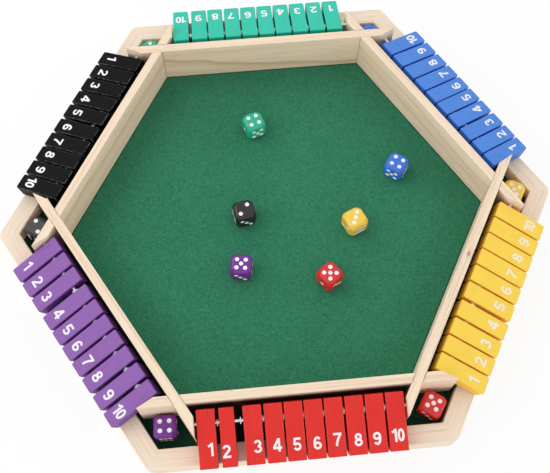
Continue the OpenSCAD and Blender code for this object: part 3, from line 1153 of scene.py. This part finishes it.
def board_mesh(game, tiles, over):
    """One divider board with mitred ends, two half-lap notches and the holes for the wires."""
    inner = game.tray_apothem
    outer = inner + game.board_thickness
    reaches = [(out * cos(HALF_ANGLE) - row_half(game)) / sin(HALF_ANGLE) for out in (inner, outer)]
    plan = [(inner, -reaches[0]), (outer, -reaches[1]), (outer, reaches[1]), (inner, reaches[0])]
    bm = bmesh.new()
    low = [bm.verts.new((x, y, FLOOR_Z)) for x, y in plan]
    high = [bm.verts.new((x, y, game.board_top)) for x, y in plan]
    bm.faces.new(reversed(low))
    bm.faces.new(high)
    for i in range(4):
        bm.faces.new((low[i], low[(i + 1) % 4], high[(i + 1) % 4], high[i]))
    seen = [e for e in bm.edges if not all(v.co.z < FLOOR_Z + MM for v in e.verts)]
    ease(bm, seen, game.board_edge, 3)
    whole = finished(bm, "board")

    cutter = bmesh.new()
    lap_z = (FLOOR_Z + game.board_top) / 2
    gap = game.lap_gap
    for side in (-1, 1):
        beside = Matrix.Rotation(side * SIDE_ANGLE, 4, "Z")
        bottom, top = FLOOR_Z - MM, lap_z + gap / 2
        if not over:
            bottom, top = lap_z - gap / 2, game.board_top + MM
        box_into(cutter, (inner - gap, -NOTCH_REACH, bottom), (outer + gap, NOTCH_REACH, top),
                 beside)
    notched = carved(whole, finished(cutter, "notches"))

    cutter = bmesh.new()
    for side in (-1, 1):
        beside = Matrix.Rotation(side * SIDE_ANGLE, 4, "Z")
        mouth = Vector((WIRE_OUT, -side * (row_half(game) - MM), WIRE_Z))
        end = Vector((WIRE_OUT, -side * (row_half(game) + tiles.wire_set), WIRE_Z))
        rod_into(cutter, beside @ mouth, beside @ end, tiles.wire / 2 + WIRE_PLAY)
    return carved(notched, finished(cutter, "wire holes"))


class GAME_OT_build_boards(bpy.types.Operator):
    """Build the six crossing divider boards"""

    bl_idname = "game.build_boards"
    bl_label = "Divider Boards"

    def execute(self, context):
        game, tiles = context.scene.game_sizes, context.scene.tile_sizes
        for row, name in enumerate(ROWS):
            knot = YELLOW_BOARD_KNOT if name == "yellow" else {}
            board = "over" if row % 2 else "under"
            wood = pine(f"{name} board pine", {**BOARD_WOOD[row], **knot}, board)
            mesh = board_mesh(game, tiles, over=board == "over")
            piece(f"board_{name}", mesh, [wood], "root", row_turn(row),
                  ["divider_boards"], seed=BOARD_SEEDS[row])
        return {"FINISHED"}


# ---------------------------------------------------------------- wires


def tile_length():
    """Length of a tile, from the middle that the frame gives it and its hole's place."""
    return 2 * (TILE_MIDDLE + bpy.context.scene.tile_sizes.hole_from_end)


TileHome = namedtuple("TileHome", "number node place width")


def tile_homes(row):
    """Number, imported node, place along the wire and width of each tile of a row."""
    homes = []
    for number in range(1, SINGLE_TILES + 1):
        node = f"{ROWS[row]}_tile_{number}"
        low, high = spread(p.y for p in row_points(node, row))
        homes.append(TileHome(number, node, (low + high) / 2, high - low))
    width = homes[-1].width
    pair = f"{ROWS[row]}_tiles_9_10"
    low, high = spread(p.y for p in row_points(pair, row))
    homes.append(TileHome(9, pair, low + width / 2, width))
    homes.append(TileHome(10, pair, high - width / 2, width))
    return homes


WIRE_SIDES = 24
WIRE_BLUNT = 0.2 * MM
# Places along half an ear, as shares of it: its neck, where it widens, and the end of its flat part
EAR_NECK = 0.8
EAR_FLAT = 0.53
# Half the neck's width, as a share of the wire's radius, and half its thickness, of the ear's whole
NECK_WIDTH = 1.15
NECK_THICKNESS = 0.62


def wire_mesh(game, tiles, ears):
    """A row's wire, pinched flat to an ear in each gap between two tiles."""
    half, radius = row_half(game) + tiles.wire_set, tiles.wire / 2
    blunt = radius - WIRE_BLUNT
    sections = [(-half, blunt, blunt), (-half + WIRE_BLUNT, radius, radius)]
    for spot, room in ears:
        root = min(tiles.ear_length / 2, room - tiles.ear_clear)
        shape = [
            (root, radius, radius),
            (root * EAR_NECK, radius * NECK_WIDTH, tiles.ear_thickness * NECK_THICKNESS),
            (root * EAR_FLAT, tiles.ear_width / 2, tiles.ear_thickness / 2),
        ]
        sections += [(spot - along, across, thick) for along, across, thick in shape]
        sections += [(spot + along, across, thick) for along, across, thick in reversed(shape)]
    sections += [(half - WIRE_BLUNT, radius, radius), (half, blunt, blunt)]
    turns = [tau * i / WIRE_SIDES for i in range(WIRE_SIDES)]
    loops = []
    for along, across, thick in sections:
        loops.append([(WIRE_OUT + across * cos(a), along, WIRE_Z + thick * sin(a)) for a in turns])
    return lofted("wire", loops)


class GAME_OT_string_wires(bpy.types.Operator):
    """Build the six steel wires with their pinched ears"""

    bl_idname = "game.string_wires"
    bl_label = "Wires"

    def execute(self, context):
        game, tiles = context.scene.game_sizes, context.scene.tile_sizes
        steel = bright_steel()
        for row, name in enumerate(ROWS):
            homes = tile_homes(row)
            ears = []
            for home, after in zip(homes, homes[1:]):
                low, high = home.place + home.width / 2, after.place - after.width / 2
                room = min((high - low) / 2, tiles.ear_stand)
                ears.append((high - room, room))
            piece(f"wire_{name}", wire_mesh(game, tiles, ears), [steel], "root",
                  row_turn(row), ["tile_wires"], seed=float(row))
        return {"FINISHED"}


# ---------------------------------------------------------------- figures


def one(x=0.0):
    """The two strokes of a one."""
    return [[(x + 0.07, 0.0), (x + 0.07, 1.0)],
            [(x + 0.07, 0.95), (x - 0.02, 0.83), (x - 0.20, 0.74)]]


def nought(x, wide):
    """The ring of a nought."""
    return [bow(x, 0.5, wide, 0.405, 0, 360, 24)]


# Centre lines of each figure's strokes, on a height of one
SIX = [bow(0.0, 0.305, 0.21, 0.21, 0, 360, 20), bow(0.01, 0.5, 0.22, 0.405, 42, 180) + [(-0.21, 0.3)]]
FIGURES = {
    1: one(),
    2: [bow(0.0, 0.69, 0.205, 0.215, 172, -38) + [(0.03, 0.40), (-0.12, 0.25), (-0.19, 0.07)],
        [(-0.285, 0.09), (0.30, 0.09)]],
    3: [bow(-0.01, 0.71, 0.19, 0.195, 165, -88), bow(-0.01, 0.30, 0.215, 0.205, 88, -165)],
    4: [[(0.10, 0.98), (-0.27, 0.30)], [(-0.33, 0.28), (0.31, 0.28)], [(0.115, 0.0), (0.115, 1.0)]],
    5: [[(-0.18, 0.905), (0.26, 0.905)], [(-0.145, 0.95), (-0.205, 0.46)],
        bow(0.0, 0.315, 0.215, 0.22, 148, -158)],
    6: SIX,
    7: [[(-0.29, 0.905), (0.30, 0.905)], [(0.225, 0.88), (0.05, 0.55), (-0.05, 0.28), (-0.09, 0.0)]],
    8: [bow(0.0, 0.72, 0.175, 0.185, 0, 360, 20), bow(0.0, 0.295, 0.215, 0.20, 0, 360, 20)],
    9: [[(-x, 1 - y) for x, y in stroke] for stroke in SIX],
    10: one(-0.265) + nought(0.185, 0.17),
}
# Width of a stroke on the same height, and how much wider than drawn a figure is printed
STROKE = 0.178
FIGURE_SPREAD = 1.08
# Second material of a tile, after its paint
PRINT = 1


def ribbon(line, wide):
    """Four-sided pieces that follow a stroke's centre line."""
    spots = [Vector(p) for p in line]
    closed = (spots[0] - spots[-1]).length < 1e-6
    sides = []
    for i, spot in enumerate(spots):
        before = spots[i - 1] if i else (spots[-2] if closed else spot)
        after = spots[i + 1] if i + 1 < len(spots) else (spots[1] if closed else spot)
        along = (after - before).normalized()
        across = Vector((-along.y, along.x)) * wide / 2
        sides.append((spot + across, spot - across))
    return [(a[0], a[1], b[1], b[0]) for a, b in zip(sides, sides[1:])]


def figure_outline(number):
    """Flat triangles that cover a figure once, where its strokes cross too."""
    points, faces = [], []
    for line in FIGURES[number]:
        for quad in ribbon([(x * FIGURE_SPREAD, y) for x, y in line], STROKE):
            faces.append(list(range(len(points), len(points) + 4)))
            points += quad
    made = delaunay_2d_cdt(points, [], faces, 1, 1e-5)
    inked = [face for face, sources in zip(made[2], made[5]) if sources]
    return made[0], inked


def figure_into(bm, number, tiles, stray):
    """Adds a figure's thin film of print to a tile's bmesh, upright for the player outside."""
    flat, triangles = figure_outline(number)
    base = tiles.thickness / 2 - tiles.hole_up - tiles.figure_film / 2
    spots = []
    for p in flat:
        x = tiles.figure_place + stray[0] - (p.y - 0.5) * tiles.figure_height
        spots.append(bm.verts.new((x, p.x * tiles.figure_height + stray[1], base)))
    ink = [bm.faces.new([spots[i] for i in face]) for face in triangles]
    grown = bmesh.ops.extrude_face_region(bm, geom=ink, use_keep_orig=True)["geom"]
    risen = [g for g in grown if isinstance(g, bmesh.types.BMVert)]
    bmesh.ops.translate(bm, verts=risen, vec=(0, 0, 1.5 * tiles.figure_film))
    shell = set(ink)
    for vertex in risen:
        shell.update(vertex.link_faces)
    for face in shell:
        face.material_index = PRINT
    bmesh.ops.recalc_face_normals(bm, faces=list(shell))
    bmesh.ops.delete(bm, geom=[v for v in spots if not v.link_faces], context="VERTS")


# ---------------------------------------------------------------- tiles


def tile_blank(tiles, width, corner):
    """A tile without its figure: softly edged, rounder at its outer corners, with its hole."""
    middle = -tiles.hole_up
    outer_end = tile_length() - tiles.hole_from_end
    bm = bmesh.new()
    box_into(bm, (-tiles.hole_from_end, -width / 2, middle - tiles.thickness / 2),
             (outer_end, width / 2, middle + tiles.thickness / 2))
    upright = [e for e in bm.edges if all(v.co.x > 0 for v in e.verts)
               and abs(e.verts[0].co.z - e.verts[1].co.z) > tiles.thickness / 2]
    ease(bm, upright, corner, 4)
    ease(bm, [e for e in bm.edges if e.calc_face_angle() > radians(45)], tiles.edge, 4)
    block = finished(bm, "tile")
    drill = bmesh.new()
    rod_into(drill, (0, -width, 0), (0, width, 0), tiles.hole / 2)
    return carved(block, finished(drill, "drill"))


# How far the red row's figures were printed off their place, along the tile and to the side, in mm
RED_STRAYS = [(-1.6, 2.2), (0.6, -1.6), (-0.8, 2.0), (-0.5, 1.0), (0.1, 0.5), (0.6, 0.7),
              (-0.5, 0.7), (1.0, 0.6), (1.4, -0.6), (0.5, 0.0)]
# Fixes how the other rows' figures stray
PRINT_CHANCE = 7


class GAME_OT_paint_tiles(bpy.types.Operator):
    """Build the sixty number tiles, each on its own place of its wire"""

    bl_idname = "game.paint_tiles"
    bl_label = "Number Tiles"

    def execute(self, context):
        tiles = context.scene.tile_sizes
        chance = Random(PRINT_CHANCE)
        blanks = {}
        for row, name in enumerate(ROWS):
            coat, ink = painted_tile(name), printed_figure(name)
            corner = tiles.red_corner if name == "red" else tiles.corner
            for number, node, spot, width in tile_homes(row):
                key = (round(width / MM, 1), corner)
                if key not in blanks:
                    blanks[key] = tile_blank(tiles, width, corner)
                stray = [chance.uniform(-1, 1) * tiles.figure_stray for _ in range(2)]
                if name == "red":
                    stray = [off * MM for off in RED_STRAYS[number - 1]]
                bm = bmesh.new()
                bm.from_mesh(blanks[key])
                figure_into(bm, number, tiles, stray)
                mesh = bpy.data.meshes.new(f"tile {number}")
                bm.to_mesh(mesh)
                bm.free()
                place = (row_turn(row) @ Matrix.Translation((WIRE_OUT, spot, WIRE_Z))
                         @ Matrix.Rotation(TILE_TILT, 4, "Y"))
                piece(f"tile_{name}_{number}", mesh, [coat, ink], node, place,
                      [node], seed=tile_seed(row, number))
        return {"FINISHED"}


# ---------------------------------------------------------------- dice

# Directions of the six faces of a die at rest on its six, in the order of their numbers
FACE_WAYS = {1: (0, 0, 1), 2: (1, 0, 0), 3: (0, 1, 0), 4: (0, -1, 0), 5: (-1, 0, 0), 6: (0, 0, -1)}
# Places of the pips on each face, in steps from its middle
PIP_SPOTS = {
    1: [(0, 0)],
    2: [(-1, -1), (1, 1)],
    3: [(-1, -1), (0, 0), (1, 1)],
    4: [(-1, -1), (-1, 1), (1, -1), (1, 1)],
    5: [(-1, -1), (-1, 1), (0, 0), (1, -1), (1, 1)],
    6: [(-1, -1), (0, -1), (1, -1), (-1, 1), (0, 1), (1, 1)],
}
# Steps round a die's edges, the ball that turns its corners, and a pip
ROUNDING_STEPS = 7
BALL_SIDES = 96
PIP_SIDES = 28
PIP_RINGS = 5
# How far the tool that cuts a pip stands out of the face
PIP_PROUD = 0.01 * MM
# Second material of a die, after its plastic
ENAMEL = 1
# Makes one die's plastic different from the next, by its place
DIE_SEED = 0.3
# Colour, middle in millimetres, turn in degrees, and the numbers on top and in front
TRAY_DICE = [
    ("red", 33.3, -54.0, 38.4, 5, 3),
    ("yellow", 57.6, -11.3, 23.7, 3, 6),
    ("blue", 96.3, 32.8, -36.4, 4, 5),
    ("green", -11.7, 80.2, 18.3, 4, 5),
    ("black", -25.6, 3.1, 9.6, 2, 3),
    ("purple", -31.2, -40.8, -8.7, 5, 3),
]
# The same for the dice in the corners, placed from the middle of each compartment
CORNER_DICE = [
    ("red", 2.0, 1.0, -33.4, 5, 3),
    ("yellow", 0.9, 1.1, -31.1, 5, 4),
    ("blue", 1.0, -0.2, 25.0, 3, 5),
    ("green", -0.8, 0.4, 42.0, 4, 5),
    ("black", -0.1, 3.2, 54.7, 2, 3),
    ("purple", -1.6, 2.7, -1.1, 4, 6),
]


def face_turn(number):
    """Turns a face drawn on +Z to the side of the die that has a number."""
    if number == 6:
        return Matrix.Rotation(pi, 4, "X")
    way = Vector(FACE_WAYS[number])
    return Vector((0, 0, 1)).rotation_difference(way).to_matrix().to_4x4()


def die_mesh(dice):
    """A rounded die with a shallow dimple for each pip."""
    half = dice.edge / 2
    bm = bmesh.new()
    box_into(bm, (-half, -half, -half), (half, half, half))
    ease(bm, list(bm.edges), dice.rounding, ROUNDING_STEPS)
    turned = bmesh.new()
    bmesh.ops.create_uvsphere(turned, u_segments=BALL_SIDES, v_segments=BALL_SIDES // 2,
                              radius=dice.ball)
    block = carved(finished(bm, "die"), finished(turned, "ball"), "INTERSECT")
    pip_half, depth = dice.pip / 2, dice.pip_depth
    ball = (pip_half ** 2 + depth ** 2) / (2 * depth)
    cutter = bmesh.new()
    for number, spots in PIP_SPOTS.items():
        for across, up in spots:
            middle = Vector((across * dice.pip_step, up * dice.pip_step, half + ball - depth))
            made = lens_into(cutter, ball, depth + PIP_PROUD)
            place = face_turn(number) @ Matrix.Translation(middle)
            bmesh.ops.transform(cutter, matrix=place, verts=made)
    for face in cutter.faces:
        face.material_index = ENAMEL
    pips = finished(cutter, "pips")
    for mesh in (block, pips):
        mesh.materials.append(None)
        mesh.materials.append(None)
    return carved(block, pips)


def lens_into(bm, ball, depth):
    """Adds the low cap of a ball to a bmesh, closed on top."""
    turns = [tau * i / PIP_SIDES for i in range(PIP_SIDES)]
    reach = (ball ** 2 - (ball - depth) ** 2) ** 0.5
    points = [bm.verts.new((0, 0, -ball))]
    loops = []
    for ring in range(1, PIP_RINGS + 1):
        wide = reach * ring / PIP_RINGS
        height = -(ball ** 2 - wide ** 2) ** 0.5
        loops.append([bm.verts.new((wide * cos(a), wide * sin(a), height)) for a in turns])
        points += loops[-1]
    for i in range(PIP_SIDES):
        k = (i + 1) % PIP_SIDES
        bm.faces.new((points[0], loops[0][k], loops[0][i]))
        for near, far in zip(loops, loops[1:]):
            bm.faces.new((near[i], near[k], far[k], far[i]))
    bm.faces.new(loops[-1])
    return points


def die_turn(top, front):
    """Turns a die so that two of its numbers are on top and in front."""
    up, ahead = Vector(FACE_WAYS[top]), Vector(FACE_WAYS[front])
    side = up.cross(ahead)
    now = Matrix((side, ahead, up)).transposed()
    wanted = Matrix(((1, 0, 0), (0, -1, 0), (0, 0, 1))).transposed()
    return (wanted @ now.inverted()).to_4x4()


class GAME_OT_cast_dice(bpy.types.Operator):
    """Build the dice in the tray and in the corner compartments"""

    bl_idname = "game.cast_dice"
    bl_label = "Dice"

    def execute(self, context):
        game, dice = context.scene.game_sizes, context.scene.dice_sizes
        shape, enamel = die_mesh(dice), pip_enamel()
        plastics = {name: die_plastic(name) for name in ROWS}
        board_outer = game.tray_apothem + game.board_thickness
        rail_inner = game.rail_outer - game.rail_width
        corner_out = (board_outer + rail_inner) / 2 / cos(HALF_ANGLE)
        spots = [("tray", Vector((0, 0)), die) for die in TRAY_DICE]
        for row, die in enumerate(CORNER_DICE):
            turn = FIRST_ROW_ANGLE + SIDE_ANGLE * row + HALF_ANGLE
            spots.append(("corner", corner_out * Vector((cos(turn), sin(turn))), die))
        for where, middle, (name, x, y, turn, top, front) in spots:
            place = (Matrix.Translation((middle.x + x * MM, middle.y + y * MM,
                                         FLOOR_Z + dice.edge / 2))
                     @ Matrix.Rotation(radians(turn), 4, "Z") @ die_turn(top, front))
            piece(f"die_{name}_{where}", shape.copy(), [plastics[name], enamel], "dice",
                  place, ["dice"], seed=x * DIE_SEED)
        return {"FINISHED"}


# ---------------------------------------------------------------- stage and camera

# The floor as the light sees it
FLOOR_GREY = (0.8, 0.8, 0.8, 1)


def white_for_camera(tree, plain, shown):
    """A shader that the camera, gloss and glass see as shown, and light sees as plain."""
    rays = add(tree, "ShaderNodeLightPath").outputs
    seen = calc(tree, "MAXIMUM", rays["Is Camera Ray"], rays["Is Glossy Ray"])
    seen = calc(tree, "MAXIMUM", seen, rays["Is Transmission Ray"])
    return add(tree, "ShaderNodeMixShader", {0: seen, 1: plain, 2: shown}).outputs[0]


def floor_material(shadow):
    """White floor on which the camera sees only a share of the shadow."""
    made = bpy.data.materials.new("white floor")
    made.use_nodes = True
    tree = made.node_tree
    tree.nodes.remove(tree.nodes["Principled BSDF"])
    plain = add(tree, "ShaderNodeBsdfDiffuse", {"Color": FLOOR_GREY}).outputs[0]
    lit = add(tree, "ShaderNodeBsdfDiffuse", {"Color": WHITE}).outputs[0]
    glow = add(tree, "ShaderNodeEmission", {"Color": WHITE, "Strength": 1.0}).outputs[0]
    shown = add(tree, "ShaderNodeMixShader", {0: shadow, 1: glow, 2: lit}).outputs[0]
    end = tree.nodes["Material Output"]
    tree.links.new(white_for_camera(tree, plain, shown), end.inputs["Surface"])
    return made


def studio_world(sky, zenith):
    """Light from all round, weaker overhead, behind a white background."""
    world = bpy.data.worlds.new("studio")
    world.use_nodes = True
    tree = world.node_tree
    way = add(tree, "ShaderNodeTexCoord").outputs["Generated"]
    fade = {"Value": split_axes(tree, way)["Z"], "From Min": 0.0, "From Max": 1.0,
            "To Min": sky, "To Max": sky * zenith}
    strength = add(tree, "ShaderNodeMapRange", fade).outputs["Result"]
    light = add(tree, "ShaderNodeBackground", {"Color": WHITE, "Strength": strength}).outputs[0]
    white = add(tree, "ShaderNodeBackground", {"Color": WHITE, "Strength": 1.0}).outputs[0]
    end = tree.nodes["World Output"]
    tree.links.new(white_for_camera(tree, light, white), end.inputs["Surface"])
    return world


def softbox(settings):
    """Square soft lamp that faces the middle of the game."""
    lamp = bpy.data.lights.new("softbox", "AREA")
    lamp.shape = "SQUARE"
    lamp.size = settings.lamp_size
    lamp.energy = settings.lamp
    made = bpy.data.objects.new("softbox", lamp)
    made.location = settings.lamp_place
    made.rotation_euler = (-made.location).to_track_quat("-Z", "Y").to_euler()
    return made


class GAME_OT_set_stage(bpy.types.Operator):
    """Set the pale floor and the soft studio light"""

    bl_idname = "game.set_stage"
    bl_label = "Stage"

    def execute(self, context):
        scene, settings = context.scene, context.scene.stage_settings
        half = settings.floor_size / 2
        corners = [(-half, -half, 0), (half, -half, 0), (half, half, 0), (-half, half, 0)]
        floor = bpy.data.objects.new("floor", mesh_of("floor", corners, [(0, 1, 2, 3)]))
        floor.data.materials.append(floor_material(settings.shadow))
        scene.collection.objects.link(floor)
        scene.world = studio_world(settings.sky, settings.zenith)
        scene.collection.objects.link(softbox(settings))
        scene.view_settings.view_transform = "Standard"
        return {"FINISHED"}


# The photographed view: where the camera stands, what it looks at, its roll, lens and sensor
CAMERA_PLACE = (-0.03056, -0.26880, 0.59041)
CAMERA_TARGET = (-0.00359, -0.01464, 0.004)
CAMERA_ROLL = radians(0.73)
CAMERA_LENS = 54.66
CAMERA_SENSOR = 36


class GAME_OT_place_camera(bpy.types.Operator):
    """Place the camera that looks down on the game over the red player's side"""

    bl_idname = "game.place_camera"
    bl_label = "Camera"

    def execute(self, context):
        data = bpy.data.cameras.new("camera")
        data.sensor_fit = "HORIZONTAL"
        data.sensor_width = CAMERA_SENSOR
        data.lens = CAMERA_LENS
        camera = bpy.data.objects.new("camera", data)
        ahead = Vector(CAMERA_TARGET) - Vector(CAMERA_PLACE)
        roll = Matrix.Rotation(CAMERA_ROLL, 4, "Z")
        turn = ahead.to_track_quat("-Z", "Y").to_matrix().to_4x4() @ roll
        camera.matrix_world = Matrix.Translation(CAMERA_PLACE) @ turn
        context.scene.collection.objects.link(camera)
        context.scene.camera = camera
        return {"FINISHED"}


# ---------------------------------------------------------------- panel and run

OPERATORS = (
    GAME_OT_place_camera,
    GAME_OT_finish_base,
    GAME_OT_lay_felt,
    GAME_OT_build_rails,
    GAME_OT_build_boards,
    GAME_OT_string_wires,
    GAME_OT_paint_tiles,
    GAME_OT_cast_dice,
    GAME_OT_set_stage,
)
GROUPS = {
    "game_sizes": GameSizes,
    "tile_sizes": TileSizes,
    "dice_sizes": DiceSizes,
    "game_colours": GameColours,
    "stage_settings": StageSettings,
}


class GAME_PT_panel(bpy.types.Panel):
    """Builds the game piece by piece"""

    bl_label = "Shut the Box"
    bl_idname = "GAME_PT_panel"
    bl_space_type = "VIEW_3D"
    bl_region_type = "UI"
    bl_category = "Game"

    def draw(self, context):
        for operator in OPERATORS:
            self.layout.operator(operator.bl_idname)
        for name, group in GROUPS.items():
            box = self.layout.box()
            for setting in group.__annotations__:
                box.prop(getattr(context.scene, name), setting)


def register():
    for name, group in GROUPS.items():
        bpy.utils.register_class(group)
        setattr(bpy.types.Scene, name, PointerProperty(type=group))
    for operator in OPERATORS:
        bpy.utils.register_class(operator)
    bpy.utils.register_class(GAME_PT_panel)


def unregister():
    bpy.utils.unregister_class(GAME_PT_panel)
    for operator in reversed(OPERATORS):
        bpy.utils.unregister_class(operator)
    for name, group in reversed(GROUPS.items()):
        delattr(bpy.types.Scene, name)
        bpy.utils.unregister_class(group)


def main():
    register()
    bpy.ops.game.place_camera()
    bpy.ops.game.finish_base()
    bpy.ops.game.lay_felt()
    bpy.ops.game.build_rails()
    bpy.ops.game.build_boards()
    bpy.ops.game.string_wires()
    bpy.ops.game.paint_tiles()
    bpy.ops.game.cast_dice()
    bpy.ops.game.set_stage()


if __name__ == "__main__":
    main()
